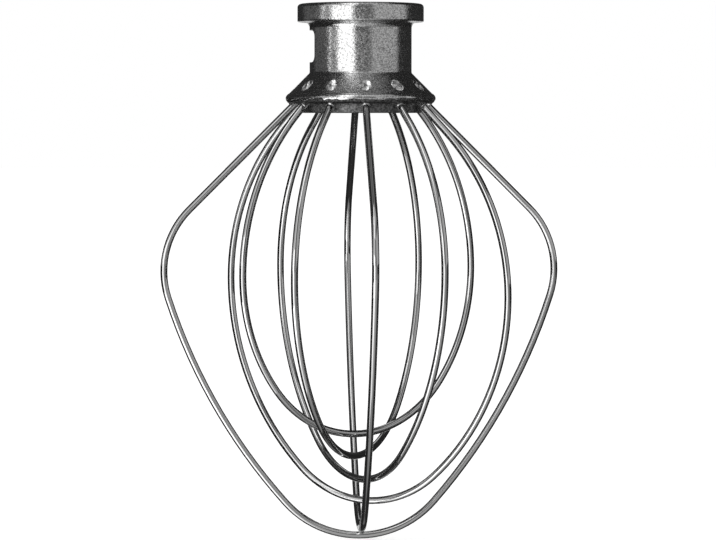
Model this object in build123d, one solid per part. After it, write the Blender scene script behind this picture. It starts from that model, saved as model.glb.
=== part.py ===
from build123d import *
from dataclasses import dataclass
from math import atan2, cos, degrees, radians, sin, tan
import os

# Wire whisk for a stand mixer, in millimetres.
# The origin is the centre of the bore's mouth, on top of the hub. +Z runs up the mixer's shaft
# and the wires hang below. Bearings are in degrees seen from above: 0 is the front, -Y, and they
# grow towards +X.

# Mixer's drive shaft and its cross pin
shaft_diameter = 12.7
shaft_clearance = 0.15
shaft_reach = 26.5
pin_diameter = 4.8
pin_clearance = 0.4
pin_reach = 12.0

# Hub, outside
neck_radius = 15.6
neck_end = 21.0
flange_overhang = 3.7
flange_height = 5.5
flange_corner = 1.1
flange_edge = 0.4
flange_root = 1.8
skirt_slope = 45.0
skirt_overhang = 7.8
rim_rounding = 1.5

# Hub, inside
mouth_chamfer = 0.6
skirt_wall = 2.3
pocket_drop = 2.0
boss_wall = 2.5
boss_floor = 2.0

# Bayonet slot in the hub's neck
slot_bearing = -90.0
slot_depth = 8.0
slot_height = 9.8
window_spread = 52.0
lock_turn = 90.0
corner_relief = 0.2
break_in = 0.5

# Staked dents that lock the wires
dent_drop = 3.9
dent_radius = 2.0
dent_nose = 3.0
dent_depth = 1.9
dent_tilt = 15.0
punch_length = 8.0

# Retainer that closes the hub from below
retainer_setback = 3.0
retainer_stand = 2.8
retainer_edge = 0.5
press_gap = 0.04

# Wires
wire_diameter = 2.2
wire_gap = 0.05
tip_gap = 0.5
first_bearing = -85.7

# Balloon that the wires make: how far the innermost loop hangs below the retainer, and the half
# widths of that loop and of the two widest ones, which cross each other
balloon_drop = 97.6
inner_half_width = 42.4
cross_half_width = 57.0
outer_half_width = 60.1


@dataclass
class Loop:
    """One bent wire: a hoop whose two ends are gripped on opposite sides of the hub.

    Its slant is the angle, from straight down, of a line from its widest point to its bottom.
    """
    place: int              # which of the hub's grooves takes its front end
    half_width: float       # from the axis to the wire's middle at its widest
    gap_above: float        # clear space up to the loop inside it, or to the retainer
    shoulder_radius: float
    lean: float             # where the side starts: its angle from straight down, in slants
    side_end: float         # where the bottom's arc takes over from the side's, in slants
    sway: float             # how far the bottom stands off the axis, towards the front end


loops = [
    Loop(1, inner_half_width, balloon_drop, 71.0, 0.0, 0.94, 0.2),
    Loop(2, 43.9, 4.4, 67.0, 0.0, 1.05, 0.8),
    Loop(4, 44.8, 5.3, 63.0, 0.0, 1.25, -0.8),
    Loop(5, 47.1, 4.3, 71.0, 0.0, 1.32, 1.9),
    Loop(3, cross_half_width, 6.4, 26.0, 0.514, 1.22, 0.0),
    Loop(0, outer_half_width, 0.1, 26.7, 0.487, 1.14, 0.2),
]

# Radii and depths worked out from the sizes above; depths are measured down from the hub's top
quarter_turn = 90
slope = radians(skirt_slope)
bore_radius = shaft_diameter / 2 + shaft_clearance
boss_radius = bore_radius + boss_wall
boss_end = shaft_reach + boss_floor
flange_radius = neck_radius + flange_overhang
rim_radius = neck_radius + skirt_overhang
rim_depth = neck_end + skirt_overhang / tan(slope)
rim_inner_radius = rim_radius - skirt_wall * cos(slope)
rim_inner_depth = rim_depth + skirt_wall * sin(slope)
pocket_depth = neck_end + pocket_drop
retainer_radius = rim_inner_radius - retainer_setback
retainer_end = rim_inner_depth + retainer_stand
slot_width = pin_diameter + pin_clearance
slot_corner = pin_diameter / 2 - corner_relief
slot_floor = slot_depth + slot_height
wire_radius = wire_diameter / 2
wire_inset = skirt_wall + wire_gap + wire_radius
wire_ends = 2 * len(loops)
bearing_step = 360 / wire_ends
match_tolerance = 1e-4


def skirt_radius(depth, inset=0.0):
    """Radius, at a depth below the top, of the cone that lies inset under the skirt's face."""
    return neck_radius + (depth - neck_end) * tan(slope) - inset / cos(slope)


def skirt_depth(radius, inset=0.0):
    """Depth at which that cone has a given radius."""
    return neck_end + (radius - neck_radius + inset / cos(slope)) / tan(slope)


def turn_to(bearing):
    """Turn about the axis that takes +X to a bearing."""
    return Rot(0, 0, bearing - quarter_turn)


def revolved(outline):
    """Solid of revolution about the axis from points given as radius and height."""
    return revolve(Plane.XZ * make_face(Polyline(*outline, close=True)), Axis.Z)


def rounded(body, radius, height, size):
    """The body with the round edge at this radius and height rounded off."""
    def matches(edge):
        same_radius = abs(edge.radius - radius) < match_tolerance
        return same_radius and abs(edge.arc_center.Z - height) < match_tolerance

    return fillet(body.edges().filter_by(GeomType.CIRCLE).filter_by(matches), size)


def hub_outside():
    """The flange, the neck and the skirt with its square-cut, rounded rim."""
    body = revolved([
        (0, 0),
        (flange_radius, 0),
        (flange_radius, -flange_height),
        (neck_radius, -flange_height),
        (neck_radius, -neck_end),
        (rim_radius, -rim_depth),
        (rim_inner_radius, -rim_inner_depth),
        (0, -rim_inner_depth),
    ])
    body = rounded(body, flange_radius, 0, flange_corner)
    body = rounded(body, flange_radius, -flange_height, flange_edge)
    body = rounded(body, neck_radius, -flange_height, flange_root)
    return rounded(body, rim_radius, -rim_depth, rim_rounding)


def hub_pocket():
    """The space under the skirt round the boss, where the wires and the retainer go."""
    return revolved([
        (boss_radius, -pocket_depth),
        (skirt_radius(pocket_depth, skirt_wall), -pocket_depth),
        (skirt_radius(retainer_end, skirt_wall), -retainer_end),
        (0, -retainer_end),
        (0, -boss_end),
        (boss_radius, -boss_end),
    ])


def radial_slot(bearing, top, bottom, reach, corner=0.0):
    """A slot as wide as the pin needs, from the axis out to reach, between two depths."""
    block = Pos(reach / 2, 0, -(top + bottom) / 2) * Box(reach, slot_width, bottom - top)
    if corner > 0:
        block = fillet(block.edges().filter_by(Axis.X), corner)
    return turn_to(bearing) * block


def window(start, end, top, bottom):
    """A slot right through the neck's wall between two bearings, with rounded corners."""
    inner = bore_radius - break_in
    outer = flange_radius + break_in
    face = Plane.XZ * Pos((inner + outer) / 2, -(top + bottom) / 2) * Rectangle(outer - inner, bottom - top)
    sector = turn_to(end) * revolve(face, Axis.Z, start - end)
    corners = sector.edges().filter_by(GeomType.LINE).filter_by(Axis.Z, reverse=True)
    return fillet(corners, slot_corner)


def bayonet_slot():
    """The pin's way in: down the keyway, round the channel, and up into its seat."""
    half_spread = window_spread / 2
    seat_bearing = slot_bearing - lock_turn
    keyway = radial_slot(slot_bearing, 0, slot_floor - slot_corner, pin_reach)
    opening = window(slot_bearing + half_spread, slot_bearing - half_spread, slot_depth, slot_floor)
    channel = window(slot_bearing, seat_bearing, slot_floor - slot_width, slot_floor)
    seat = radial_slot(seat_bearing, slot_depth, slot_floor, flange_radius + break_in, slot_corner)
    return keyway + opening + channel + seat


def staking_punch():
    """The round-nosed punch that dents the skirt over a wire."""
    lift = radians(dent_tilt)
    dent_centre = neck_end + dent_drop
    outward = Vector(cos(lift), 0, sin(lift))
    tip = Vector(skirt_radius(dent_centre), 0, -dent_centre) - outward * dent_depth
    nose_centre = tip + outward * dent_nose
    middle = Pos(0, 0, punch_length / 2)
    shank = Plane(origin=tip, z_dir=outward) * middle * Cylinder(dent_radius, punch_length)
    behind_nose = Plane(origin=nose_centre, z_dir=outward) * middle * Cylinder(dent_nose, punch_length)
    return shank & (Pos(*nose_centre) * Sphere(dent_nose) + behind_nose)


def all_round(shape):
    """Copies of a shape at every wire end."""
    return [turn_to(first_bearing + i * bearing_step) * shape for i in range(wire_ends)]


def hub():
    """The cast hub: one piece, bored for the shaft and hollow under the skirt."""
    body = hub_outside() - hub_pocket()
    body -= Pos(0, 0, -shaft_reach / 2) * Cylinder(bore_radius, shaft_reach)
    body -= bayonet_slot()
    body -= Pos(0, 0, -mouth_chamfer / 2) * Cone(bore_radius, bore_radius + mouth_chamfer, mouth_chamfer)
    for punch in all_round(staking_punch()):
        body -= punch
    return body


def wire_groove():
    """Room in the retainer for one gripped wire: round at the bottom and open to the skirt."""
    down_slope = Vector(sin(slope), 0, -cos(slope))
    off_slope = Vector(cos(slope), 0, sin(slope))
    start = Vector(skirt_radius(pocket_depth, wire_inset), 0, -pocket_depth) - down_slope * wire_diameter
    length = (retainer_end - pocket_depth) / cos(slope) + wire_diameter
    width = wire_diameter + 2 * wire_gap
    bed = Plane(origin=start, x_dir=off_slope, z_dir=down_slope) * Pos(0, 0, length / 2)
    mouth = Pos(wire_diameter, 0, 0) * Box(2 * wire_diameter, width, length)
    return bed * Cylinder(width / 2, length) + bed * mouth


def wire_retainer():
    """The plug pressed on the hub's boss, which clamps the wires against the skirt."""
    inset = skirt_wall + press_gap
    top = pocket_depth + press_gap
    hole = boss_radius + press_gap
    body = revolved([
        (hole, -top),
        (skirt_radius(top, inset), -top),
        (retainer_radius, -skirt_depth(retainer_radius, inset)),
        (retainer_radius, -retainer_end),
        (0, -retainer_end),
        (0, -boss_end - press_gap),
        (hole, -boss_end - press_gap),
    ])
    body = rounded(body, retainer_radius, -retainer_end, retainer_edge)
    for groove in all_round(wire_groove()):
        body -= groove
    return body


def loop_depths():
    """Depth of each loop's bottom: every wire passes under the one nested inside it."""
    depths = []
    depth = retainer_end - wire_radius
    for loop in loops:
        depth += wire_diameter + loop.gap_above
        depths.append(depth)
    return depths


def lower_radii(across, drop, lean, side_end):
    """Radii of the side's and the bottom's arcs, which together go across and down to level."""
    difference = drop * cos(lean) - across * (1 - sin(lean))
    difference /= sin(side_end - lean) + cos(side_end) - cos(lean)
    bottom_radius = (across - difference * (cos(lean) - cos(side_end))) / cos(lean)
    return bottom_radius + difference, bottom_radius


def half_path(loop, depth, sway):
    """Middle line of one half of a loop, from its gripped tip down to the bottom."""
    tip_depth = pocket_depth + tip_gap + wire_radius * sin(slope)
    tip = Vector(skirt_radius(tip_depth, wire_inset), -tip_depth)
    bend_start = loop.half_width + sway - loop.shoulder_radius * (1 - cos(slope))
    bend_depth = skirt_depth(bend_start, wire_inset)
    slant = atan2(loop.half_width, depth - bend_depth - loop.shoulder_radius * sin(slope))
    lean = loop.lean * slant
    side_end = loop.side_end * slant
    shank = Line(tip, (bend_start, -bend_depth))
    shoulder = JernArc(shank @ 1, shank % 1, loop.shoulder_radius, -skirt_slope - degrees(lean))
    lower_start = shoulder @ 1
    radii = lower_radii(lower_start.X - sway, depth + lower_start.Y, lean, side_end)
    side = JernArc(lower_start, shoulder % 1, radii[0], degrees(lean - side_end))
    bottom = JernArc(side @ 1, side % 1, radii[1], degrees(side_end) - quarter_turn)
    return [shank, shoulder, side, bottom]


def wire_loop(loop, depth):
    """A wire swept along its middle line, turned to its place in the hub."""
    front = half_path(loop, depth, loop.sway)
    back = [mirror(line, about=Plane.YZ) for line in half_path(loop, depth, -loop.sway)]
    path = Plane.XZ * Wire([line.edge() for line in front + back])
    section = Plane(origin=path @ 0, z_dir=path % 0) * Circle(wire_radius)
    wire = sweep(section, path=path)
    return turn_to(first_bearing + loop.place * bearing_step) * wire


os.makedirs("parts", exist_ok=True)
export_step(hub(), "parts/hub.step")
export_step(wire_retainer(), "parts/wire_retainer.step")
for number, (loop, depth) in enumerate(zip(loops, loop_depths()), start=1):
    export_step(wire_loop(loop, depth), f"parts/wire_loop_{number}.step")
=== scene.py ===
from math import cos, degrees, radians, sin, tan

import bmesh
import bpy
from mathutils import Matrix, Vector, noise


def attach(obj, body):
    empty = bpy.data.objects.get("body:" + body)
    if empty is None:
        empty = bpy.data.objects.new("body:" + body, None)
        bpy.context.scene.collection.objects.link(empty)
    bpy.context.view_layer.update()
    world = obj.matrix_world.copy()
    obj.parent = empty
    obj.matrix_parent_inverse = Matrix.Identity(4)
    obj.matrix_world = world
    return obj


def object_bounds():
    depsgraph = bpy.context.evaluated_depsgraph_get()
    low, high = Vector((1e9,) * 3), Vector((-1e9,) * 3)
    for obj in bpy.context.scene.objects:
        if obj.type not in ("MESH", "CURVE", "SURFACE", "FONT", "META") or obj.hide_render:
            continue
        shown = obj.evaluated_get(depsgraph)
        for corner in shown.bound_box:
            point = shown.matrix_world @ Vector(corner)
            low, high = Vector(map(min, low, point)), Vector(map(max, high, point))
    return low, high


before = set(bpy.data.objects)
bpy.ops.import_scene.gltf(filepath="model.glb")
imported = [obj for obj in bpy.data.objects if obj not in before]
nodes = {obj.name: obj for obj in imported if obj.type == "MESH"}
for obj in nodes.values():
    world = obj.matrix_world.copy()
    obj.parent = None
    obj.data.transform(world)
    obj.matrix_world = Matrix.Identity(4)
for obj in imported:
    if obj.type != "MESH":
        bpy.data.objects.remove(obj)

# %% [markdown]
# A wire whisk for a stand mixer. The real one has a cast aluminium hub, a plug pressed into it
# from below, and six bent loops of stainless wire held between the two. Every one of these
# pieces comes with the frame at its true size and place, so this lesson is about finish: how
# cast, turned and drawn metal look, and how a studio is built that lets them show it.
#
# The frame's own box is kept straight away.

frame_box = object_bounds()
print("pieces in the frame:", sorted(nodes))

# %% [markdown]
# The photograph is taken with the eye about level with the foot of the hub, looking down a
# little: the hub's top can't be seen, and its upper rim bows up. A camera has to stand where the
# photographer stood for the loops to cross each other at the same places. The distance sets how
# much the near wires grow, and the lens then follows from the width that the picture takes in.

# %% Camera
picture_width_px = 716
mm_per_px = 0.3073
mm = 0.001
eye = Vector((-0.8, -833.0, -34.2)) * mm
aim = Vector((-0.8, 0.0, -81.4)) * mm
sensor_width = 36.0

camera = bpy.data.cameras.new("camera")
camera.sensor_width = sensor_width
camera.lens = sensor_width * (aim - eye).length / (picture_width_px * mm_per_px * mm)
viewer = bpy.data.objects.new("camera", camera)
viewer.location = eye
viewer.rotation_euler = (aim - eye).to_track_quat("-Z", "Y").to_euler()
bpy.context.scene.collection.objects.link(viewer)
bpy.context.scene.camera = viewer
bpy.context.scene.view_settings.view_transform = "Standard"
print("lens: %.1f mm" % camera.lens)

# %% [markdown]
# A finish is a tree of nodes. Sums on its values read best as sums, so a small class wraps a
# socket and gives it Python's operators: each one adds a Math node. Every other node comes from
# one method, which takes its type, its settings and what goes into its sockets.

# %% Shader expressions
class Field:
    """A value that varies over a surface, on which Python's operators work."""

    def __init__(self, tree, socket):
        self.tree = tree
        self.socket = socket

    def combine(self, operation, *values):
        """One Math node with this operation."""
        maths = self.tree.nodes.new("ShaderNodeMath")
        maths.operation = operation
        for socket, value in zip(maths.inputs, values):
            if isinstance(value, Field):
                self.tree.links.new(value.socket, socket)
            else:
                socket.default_value = value
        return Field(self.tree, maths.outputs[0])

    def __add__(self, other):
        return self.combine("ADD", self, other)

    def __sub__(self, other):
        return self.combine("SUBTRACT", self, other)

    def __mul__(self, other):
        return self.combine("MULTIPLY", self, other)

    def larger(self, other):
        """The larger of two values at each point."""
        return self.combine("MAXIMUM", self, other)

    __radd__ = __add__
    __rmul__ = __mul__


class Finish:
    """The node tree of a material or of the world."""

    def __init__(self, owner):
        owner.use_nodes = True
        self.owner = owner
        self.tree = owner.node_tree
        self.tree.nodes.clear()

    def node(self, kind, settings=None, inputs=None, output=0):
        """Adds a node of any type, and gives back the output asked for."""
        node = self.tree.nodes.new(kind)
        for name, value in (settings or {}).items():
            if name == "stops":
                set_stops(node.color_ramp, value)
            else:
                setattr(node, name, value)
        for name, value in (inputs or {}).items():
            if isinstance(value, Field):
                self.tree.links.new(value.socket, node.inputs[name])
            else:
                node.inputs[name].default_value = value
        if not node.outputs:
            return None
        return Field(self.tree, node.outputs[output])

    def lumps(self, place, size, detail):
        """A soft noise whose lumps are about this large."""
        return self.node("ShaderNodeTexNoise", inputs={
            "Vector": place, "Scale": 1 / size, "Detail": detail})

    def ramp(self, value, stops):
        """A grey level for each value, by these stops."""
        return self.node("ShaderNodeValToRGB", {"stops": stops}, {"Fac": value})

    def mix(self, share, first, second):
        """A colour between two, by the second one's share."""
        return self.node("ShaderNodeMix", {"data_type": "RGBA"}, {
            "Factor": share, "A": first, "B": second}, output="Result")


def set_stops(ramp, stops):
    """Gives a colour ramp its stops, as pairs of place and grey level."""
    while len(ramp.elements) < len(stops):
        ramp.elements.new(1.0)
    for element, (place, level) in zip(ramp.elements, stops):
        element.position = place
        element.color = (level, level, level, 1.0)


def grey(level):
    """A neutral colour."""
    return (level, level, level, 1.0)


print("operators on fields:", [name for name in vars(Field) if name.startswith("__r")])

# %% [markdown]
# The backdrop is plain white paper with a white sweep on the floor. The world is white where the
# camera, a mirror or glass looks at it, and dimmer as a lamp, so that colours come out as they are
# written. The floor's own light only tops up what the lamps give it, so the whisk's soft shadow
# stays on it.

# %% Backdrop and floor
world_light = 0.6
floor_gap = 2.0 * mm
floor_size = 6.0
floor_colour = 0.9
floor_top_up = 0.42


def seen_directly(finish):
    """1 for rays from the camera, from gloss and through glass, and 0 for the others."""
    camera_ray, glossy_ray, glass_ray = (
        finish.node("ShaderNodeLightPath", output="Is %s Ray" % kind)
        for kind in ("Camera", "Glossy", "Transmission"))
    return camera_ray.larger(glossy_ray).larger(glass_ray)


world = bpy.data.worlds.new("white_backdrop")
bpy.context.scene.world = world
sky = Finish(world)
sky_level = world_light + (1.0 - world_light) * seen_directly(sky)
background = sky.node("ShaderNodeBackground", inputs={"Color": grey(1.0), "Strength": sky_level})
sky.node("ShaderNodeOutputWorld", inputs={"Surface": background})

floor_finish = Finish(bpy.data.materials.new("floor_paper"))
matt = floor_finish.node("ShaderNodeBsdfDiffuse", inputs={"Color": grey(floor_colour)})
top_up = floor_finish.node("ShaderNodeEmission", inputs={
    "Color": grey(1.0), "Strength": floor_top_up * seen_directly(floor_finish)})
both = floor_finish.node("ShaderNodeAddShader", inputs={0: matt, 1: top_up})
floor_finish.node("ShaderNodeOutputMaterial", inputs={"Surface": both})


def new_piece(name, shape, material):
    """Turns a bmesh into an object at the origin with one material."""
    mesh = bpy.data.meshes.new(name)
    shape.to_mesh(mesh)
    shape.free()
    mesh.materials.append(material)
    piece = bpy.data.objects.new(name, mesh)
    bpy.context.scene.collection.objects.link(piece)
    return piece


floor_shape = bmesh.new()
floor_place = Matrix.Translation((0, 0, frame_box[0][2] - floor_gap))
bmesh.ops.create_grid(floor_shape, x_segments=1, y_segments=1, size=floor_size, matrix=floor_place)
floor = new_piece("floor", floor_shape, floor_finish.owner)
floor.visible_glossy = False
print("floor at z = %.1f mm" % (floor.data.vertices[0].co.z / mm))

# %% [markdown]
# Polished metal has hardly any colour of its own: it is a mirror of the room. The bands that run
# down the hub, and the one white line on each wire, are a softbox and some grey and black cards
# round the camera. Each card is a patch of a large sphere about the whisk, so it sits at the same
# bearing for every piece. A bearing of 0 is where the camera stands, and + is to its right.
#
# A vertical face mirrors what stands level with it. The hub is near the camera's own height and
# the wires hang below it, so the hub mirrors heights of 1 to 12 degrees, and the upright wires
# mirror those of -15 to 1. Each of the two gets its own row of cards. The rows above and below
# them are for the slanting wires, the skirt's lip and the dents. Black flags fill every gap, for
# a gap would show white paper in the metal's edges. The cards can be seen in gloss alone: the
# camera looks through them, and they cast no shadow.

# %% Studio cards
studio_radius = 1.6
studio_centre = Vector((0, 0, -80)) * mm
degrees_per_step = 3

# Name, bearings from and to, heights from and to in degrees, and level
cards = [
    ("hub_left_flag", -125, -75, 1, 12, 0.1),
    ("hub_edge_strip", -75, -71, 1, 12, 1.4),
    ("hub_left_card", -71, -54, 1, 12, 0.31),
    ("hub_softbox", -54, -14, 1, 12, 1.55),
    ("camera_card", -14, 25, 1, 12, 0.1),
    ("hub_right_card", 25, 92, 1, 12, 0.42),
    ("hub_right_flag", 92, 235, 1, 12, 0.028),
    ("wire_left_flag", -165, -49, -15, 1, 0.015),
    ("wire_softbox", -49, -14, -15, 1, 1.6),
    ("wire_near_card", -14, 12, -15, 1, 0.42),
    ("wire_right_card", 12, 40, -15, 1, 0.26),
    ("wire_far_card", 40, 60, -15, 1, 0.13),
    ("wire_far_low_card", 60, 78, -15, -7, 0.26),
    ("wire_far_flag", 60, 78, -7, 1, 0.015),
    ("wire_right_flag", 78, 165, -15, 1, 0.015),
    ("back_card", 165, 195, -30, 1, 0.6),
    ("low_left_flag", -165, -62, -60, -15, 0.02),
    ("low_softbox", -62, -14, -32, -15, 2.0),
    ("below_softbox", -62, -14, -45, -32, 1.4),
    ("lower_softbox", -62, -14, -60, -45, 1.1),
    ("low_right_card", -14, 40, -60, -15, 0.42),
    ("low_far_card", 40, 66, -60, -15, 0.2),
    ("low_right_flag", 66, 165, -60, -15, 0.02),
    ("low_back_flag", 165, 195, -60, -30, 0.03),
    ("high_left_flag", -170, -75, 12, 62, 0.025),
    ("high_left_card", -75, -38, 12, 33, 0.45),
    ("high_softbox", -38, -14, 12, 33, 0.75),
    ("above_left_card", -75, -38, 33, 46, 0.34),
    ("above_left_flag", -75, -48, 46, 62, 0.04),
    ("above_softbox", -38, -14, 33, 46, 1.5),
    ("upper_softbox", -48, -14, 46, 62, 1.5),
    ("above_camera_flag", -14, 20, 12, 33, 0.14),
    ("above_camera_card", -14, 40, 33, 46, 0.35),
    ("high_right_card", 20, 90, 12, 33, 0.42),
    ("above_right_flag", 40, 90, 33, 46, 0.04),
    ("above_right_card", -14, 75, 46, 62, 0.45),
    ("above_edge_flag", 75, 90, 46, 62, 0.04),
    ("high_right_flag", 90, 170, 12, 62, 0.02),
    ("high_back_flag", 170, 190, 12, 34, 0.03),
    ("high_back_card", 170, 190, 34, 62, 0.6),
    ("top_left_card", -120, -75, 62, 89, 0.16),
    ("top_softbox", -50, -14, 62, 77, 1.1),
    ("top_near_card", -14, 70, 62, 77, 0.4),
    ("top_edge_flag", -75, -50, 62, 77, 0.12),
    ("top_far_flag", 70, 80, 62, 77, 0.12),
    ("top_front_card", -75, 80, 77, 89, 0.1),
    ("top_right_card", 80, 110, 62, 89, 0.18),
    ("top_right_flag", 110, 150, 62, 89, 0.02),
    ("top_back_card", 150, 210, 62, 89, 0.1),
    ("top_left_flag", 210, 240, 62, 89, 0.02),
    ("floor_low_card", -66, 72, -75, -60, 0.26),
    ("floor_front_card", -66, 72, -89, -75, 0.2),
    ("floor_right_flag", 72, 150, -89, -60, 0.03),
    ("floor_back_card", 150, 210, -89, -60, 0.14),
    ("floor_left_flag", 210, 294, -89, -60, 0.03),
]


def arc_steps(angle):
    """How many faces an arc of this many degrees gets."""
    return max(1, round(angle / degrees_per_step))


def sphere_patch(from_bearing, to_bearing, low, high):
    """A patch of the studio's sphere: a vertex is spun up into an arc, and the arc round."""
    shape = bmesh.new()
    corner = Vector((0, -cos(radians(low)), sin(radians(low)))) * studio_radius
    rise = high - low
    bmesh.ops.spin(shape, geom=[shape.verts.new(corner)], cent=(0, 0, 0), axis=(-1, 0, 0),
                   dvec=(0, 0, 0), angle=radians(rise), steps=arc_steps(rise))
    bmesh.ops.rotate(shape, verts=shape.verts, cent=(0, 0, 0),
                     matrix=Matrix.Rotation(radians(from_bearing), 3, "Z"))
    turn = to_bearing - from_bearing
    bmesh.ops.spin(shape, geom=list(shape.verts) + list(shape.edges), cent=(0, 0, 0),
                   axis=(0, 0, 1), dvec=(0, 0, 0), angle=radians(turn), steps=arc_steps(turn))
    bmesh.ops.translate(shape, verts=shape.verts, vec=studio_centre)
    return shape


for name, first, last, low, high, level in cards:
    glow = Finish(bpy.data.materials.new(name))
    light = glow.node("ShaderNodeEmission", inputs={"Color": grey(1.0), "Strength": level})
    glow.node("ShaderNodeOutputMaterial", inputs={"Surface": light})
    card = new_piece(name, sphere_patch(first, last, low, high), glow.owner)
    card.visible_camera = False
    card.visible_diffuse = False
    card.visible_transmission = False
    card.visible_shadow = False
    centre = sum((v.co for v in card.data.vertices), Vector()) / len(card.data.vertices)
    print("%-18s %d faces, centre %s" % (
        name, len(card.data.polygons), [round(c, 2) for c in centre]))

# %% [markdown]
# The whisk stands close over the floor, and a soft light from high on the camera's left draws its
# shadow there. A sun lights near and far floor alike, so the paper has no horizon, and a wide sun
# is as soft as a softbox. It is left out of the gloss, where the softbox's card already stands.

# %% Lamp
sun_level = 0.9
sun_width = 35
sun_place = Vector((-0.5, -0.6, 1.2))

sun_data = bpy.data.lights.new("soft_sun", "SUN")
sun_data.energy = sun_level
sun_data.angle = radians(sun_width)
sun = bpy.data.objects.new("soft_sun", sun_data)
sun.location = sun_place
sun.rotation_euler = (-sun_place).to_track_quat("-Z", "Y").to_euler()
sun.visible_glossy = False
bpy.context.scene.collection.objects.link(sun)
print("the sun stands %.0f degrees high" % (90 - degrees(sun_place.angle(Vector((0, 0, 1))))))

# %% [markdown]
# The wires are drawn stainless steel. Drawing pulls the wire through a die, which leaves it
# bright, with hair lines along its length. A pattern that follows a bent wire would need its own
# coordinates, but each loop lies flat in one plane through the whisk's axis, so how far a point
# stands off that plane is the same all along a hair line. The pattern is turned to each loop's
# bearing, stretched along the plane and squeezed across it. The twelve wire ends stand evenly
# round the hub, so all six bearings follow from the first one.

# %% Wire steel
first_bearing = -85.7
wire_ends = 12
bearing_step = 360 / wire_ends
loops_in_turn = ["wire_loop_6", "wire_loop_1", "wire_loop_2",
                 "wire_loop_5", "wire_loop_3", "wire_loop_4"]
loop_bearings = {loop: first_bearing + turn * bearing_step
                 for turn, loop in enumerate(loops_in_turn)}
wire_colour = 0.74
wire_contrast = 0.08
wire_roughness = 0.05
patch_roughness = 0.05
hair_line = 0.35 * mm
hair_length = 25 * mm
hair_share = 0.65
hair_relief = 0.01 * mm
hair_relief_strength = 0.3
wire_patch = 9 * mm


def wire_steel(name, bearing):
    """Drawn steel with hair lines along a loop that lies at this bearing."""
    finish = Finish(bpy.data.materials.new(name))
    place = finish.node("ShaderNodeTexCoord", output="Object")
    aligned = finish.node("ShaderNodeMapping", inputs={
        "Vector": place, "Rotation": (0, 0, radians(90 - bearing))})
    drawn = finish.node("ShaderNodeMapping", inputs={
        "Vector": aligned, "Scale": (1 / hair_length, 1 / hair_line, 1 / hair_length)})
    lines = finish.lumps(drawn, 1.0, 2.0)
    patches = finish.lumps(place, wire_patch, 3.0)
    tone = finish.mix(hair_share * lines + (1 - hair_share) * patches,
                      grey(wire_colour - wire_contrast), grey(wire_colour + wire_contrast))
    relief = finish.node("ShaderNodeBump", inputs={
        "Height": lines, "Strength": hair_relief_strength, "Distance": hair_relief})
    roughness = wire_roughness + patch_roughness * patches
    steel = finish.node("ShaderNodeBsdfPrincipled", inputs={
        "Base Color": tone, "Metallic": 1.0, "Roughness": roughness, "Normal": relief})
    finish.node("ShaderNodeOutputMaterial", inputs={"Surface": steel})
    return finish.owner


for loop in sorted(loop_bearings):
    steel = wire_steel("steel_" + loop, loop_bearings[loop])
    nodes[loop].material_slots[0].material = steel
    print("%s is steel drawn along bearing %.1f" % (loop, loop_bearings[loop]))

# %% [markdown]
# The hub is cast aluminium that has been turned and tumbled. It still mirrors the room, but its
# skin is full of small grains and soft waves, so the edges of the bands are ragged and the dim
# ones are speckled. Four noises make it: grains of half a millimetre, waves of a few millimetres,
# a sprinkling of pits whose dark colour is painted shade, and dull grains that blur what they
# mirror.

# %% Hub metal
hub_colour = 0.75
hub_contrast = 0.24
hub_roughness = 0.09
hub_grain = 0.45 * mm
hub_relief = 0.035 * mm
grain_stops = [(0.4, 0.0), (0.6, 1.0)]
grain_height = 0.9
wave_size = 3.0 * mm
wave_height = 1.5
wave_roughness = 0.08
pit_size = 0.9 * mm
pit_stops = [(0.28, 1.0), (0.34, 0.0)]
pit_cover = 0.8
pit_shade = 0.4
pit_depth = 0.5
dull_size = 0.5 * mm
dull_stops = [(0.5, 0.0), (0.62, 1.0)]
dull_roughness = 0.24


def cast_metal(name, colour, grain, contrast, smoothest, relief_depth):
    """Cast metal with grains, soft waves, small pits darkened with painted shade, and dull grains.
    """
    finish = Finish(bpy.data.materials.new(name))
    place = finish.node("ShaderNodeTexCoord", output="Object")
    grains = finish.lumps(place, grain, 3.0)
    waves = finish.lumps(place, wave_size, 2.0)
    pits = finish.ramp(finish.lumps(place, pit_size, 4.0), pit_stops)
    dull = finish.ramp(finish.lumps(place, dull_size, 2.0), dull_stops)
    tone = finish.mix(finish.ramp(grains, grain_stops),
                      grey(colour - contrast), grey(colour + contrast))
    # Painted shade: the pits are darkened in colour, as the shade in their hollows would darken
    # them.
    pitted = finish.mix(pits * pit_cover, tone, grey(colour * pit_shade))
    height = grains * grain_height + waves * wave_height - pits * pit_depth
    relief = finish.node("ShaderNodeBump", inputs={
        "Height": height, "Strength": 1.0, "Distance": relief_depth})
    roughness = smoothest + wave_roughness * waves + dull_roughness * dull
    metal = finish.node("ShaderNodeBsdfPrincipled", inputs={
        "Base Color": pitted, "Metallic": 1.0, "Roughness": roughness, "Normal": relief})
    finish.node("ShaderNodeOutputMaterial", inputs={"Surface": metal})
    return finish.owner


hub_metal = cast_metal("hub_aluminium", hub_colour, hub_grain, hub_contrast, hub_roughness,
                       hub_relief)
nodes["hub"].material_slots[0].material = hub_metal
print("hub:", hub_metal.name, "with", len(hub_metal.node_tree.nodes), "nodes")

# %% [markdown]
# The plug under the hub was never polished: it keeps its dull, rough skin from the mould, so it
# mirrors nothing clearly. Its dark grey is painted shade, for it sits under the overhanging skirt.

# %% Retainer metal
# The plug's dark grey is painted shade under the skirt; its roughness is the mould's skin.
retainer_shade_colour = 0.26
retainer_contrast = 0.1
retainer_roughness = 0.42
mould_grain = 0.7 * mm
mould_relief = 0.1 * mm
retainer_metal = cast_metal("retainer_painted_shade", retainer_shade_colour, mould_grain,
                            retainer_contrast, retainer_roughness, mould_relief)
nodes["wire_retainer"].material_slots[0].material = retainer_metal
print("retainer:", retainer_metal.name)

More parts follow.
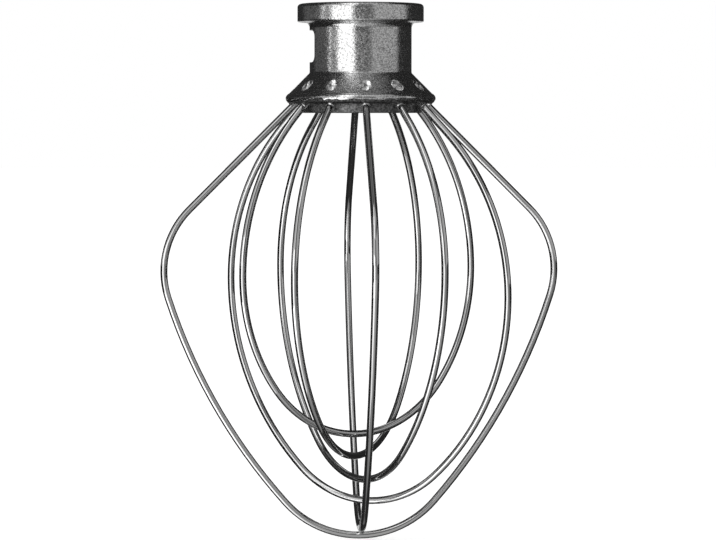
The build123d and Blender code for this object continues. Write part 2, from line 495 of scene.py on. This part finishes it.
# %% [markdown]
# A casting has no sharp inner corners, for the mould couldn't fill them. Where the neck meets the
# skirt, the metal curves from one into the other, and that hollow curve mirrors the whole room
# above it as one thin, light line. An arc is spun about the whisk's axis to make it. Its two ends
# lie a hair under the hub's faces, so no edge of it can be seen.

# %% Root of the skirt
neck_radius = 15.6 * mm
neck_end = -21.0 * mm
skirt_slope = 45
root_radius = 1.0 * mm
root_depth = 0.3 * mm
root_steps = 6
root_sink = 0.01 * mm
ring_steps = 180


def turned(name, profile, material):
    """A ring from a closed profile of radius and height, spun once about the whisk's axis."""
    shape = bmesh.new()
    corners = [shape.verts.new((radius, 0, height)) for radius, height in profile]
    edges = [shape.edges.new(pair) for pair in zip(corners, corners[1:] + corners[:1])]
    bmesh.ops.spin(shape, geom=corners + edges, cent=(0, 0, 0), axis=(0, 0, 1), dvec=(0, 0, 0),
                   angle=radians(360), steps=ring_steps, use_merge=True)
    return finished(name, shape, material)


def finished(name, shape, material):
    """Makes a bmesh into a smooth piece that rides with the whisk."""
    bmesh.ops.recalc_face_normals(shape, faces=shape.faces)
    for face in shape.faces:
        face.smooth = True
    piece = new_piece(name, shape, material)
    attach(piece, "root")
    return piece


root_centre = (neck_radius + root_radius,
               neck_end + root_radius * tan(radians(skirt_slope / 2)))
root_profile = [(neck_radius - root_depth, neck_end)]
for step in range(root_steps + 1):
    turn = radians(180 + skirt_slope * step / root_steps)
    root_profile.append((root_centre[0] + root_radius * cos(turn) - root_sink,
                         root_centre[1] + root_radius * sin(turn) - root_sink))
skirt_root = turned("skirt_root", root_profile, hub_metal)
print("skirt root:", len(skirt_root.data.polygons), "faces")

# %% [markdown]
# The rim was rolled over a little when the wires were locked, so it stands proud as a narrow lip.
# It is spun from a profile too, and then its lower corners are moved up and down by a noise, for
# the metal ended in a ragged edge. Under the lip a rough sheet lies over the skirt's end face, and
# its dark grey is painted shade: the shade that the overhanging lip casts there.

# %% Rolled lip and painted shade under it
lip_profile = [(21.6, -27.6), (21.95, -27.3), (22.15, -27.42), (22.55, -27.75), (22.8, -28.12),
               (22.93, -28.45), (22.96, -28.75), (22.92, -29.0), (22.78, -29.18), (22.3, -29.16)]
end_face_profile = [(22.3, -29.0), (22.8, -29.0), (22.74, -29.5), (22.45, -29.92), (21.82, -30.44),
                    (21.78, -30.3)]
ragged_from = -28.9 * mm
ragged_size = 0.7 * mm
ragged_lumps = 19.0
# Painted shade: the end face is dark grey because the lip hangs over it.
end_face_shade_colour = 0.17
face_contrast = 0.08
face_roughness = 0.5


def in_mm(profile):
    """A profile given in millimetres, in metres."""
    return [(radius * mm, height * mm) for radius, height in profile]


lip = turned("rolled_lip", in_mm(lip_profile), hub_metal)
for vertex in lip.data.vertices:
    if vertex.co.z < ragged_from:
        spot = vertex.co.normalized() * ragged_lumps
        vertex.co.z += ragged_size * noise.noise(spot)
end_face_shade_metal = cast_metal("end_face_painted_shade", end_face_shade_colour, mould_grain, face_contrast,
                        face_roughness, mould_relief)
# A dark, rough sheet over the end face, whose colour is painted shade under the lip.
end_face = turned("end_face_shade_sheet", in_mm(end_face_profile), end_face_shade_metal)
print("lip:", len(lip.data.polygons), "faces; end face:", len(end_face.data.polygons))

# %% [markdown]
# The punch that dents the skirt also drives metal round each wire, where it leaves the skirt. It
# stands up as a burr: a thin, light bow over the wire. A small circle is spun part of the way
# round the wire's own axis, which slopes down at 45 degrees here, and the bow is then copied to
# the twelve wire ends.

# %% Burrs over the wires
wire_radius = 1.1 * mm
wire_slope = 45
burr_radius = 0.2 * mm
burr_sides = 10
burr_stand = 0.6
burr_spread = 160
burr_steps = 20
burr_place = Vector((20.96, 0, -31.24)) * mm


def burr_bow(bearing):
    """A bow over one wire, at its bearing."""
    shape = bmesh.new()
    bow_radius = wire_radius + burr_radius * burr_stand
    upright = Matrix.Rotation(radians(90), 4, "X")
    section = bmesh.ops.create_circle(shape, segments=burr_sides, radius=burr_radius,
                                      matrix=Matrix.Translation((bow_radius, 0, 0)) @ upright)
    bmesh.ops.rotate(shape, verts=section["verts"], cent=(0, 0, 0),
                     matrix=Matrix.Rotation(radians(-burr_spread / 2), 3, "Z"))
    bmesh.ops.spin(shape, geom=list(shape.verts) + list(shape.edges), cent=(0, 0, 0),
                   axis=(0, 0, 1), dvec=(0, 0, 0), angle=radians(burr_spread), steps=burr_steps)
    tilt = Matrix.Rotation(radians(-wire_slope), 4, "Y")
    turn = Matrix.Rotation(radians(bearing - 90), 4, "Z")
    place = turn @ Matrix.Translation(burr_place) @ tilt
    bmesh.ops.transform(shape, verts=shape.verts, matrix=place)
    return shape


for end in range(wire_ends):
    bearing = first_bearing + end * bearing_step
    finished("burr_%02d" % (end + 1), burr_bow(bearing), hub_metal)
print("burrs:", wire_ends)
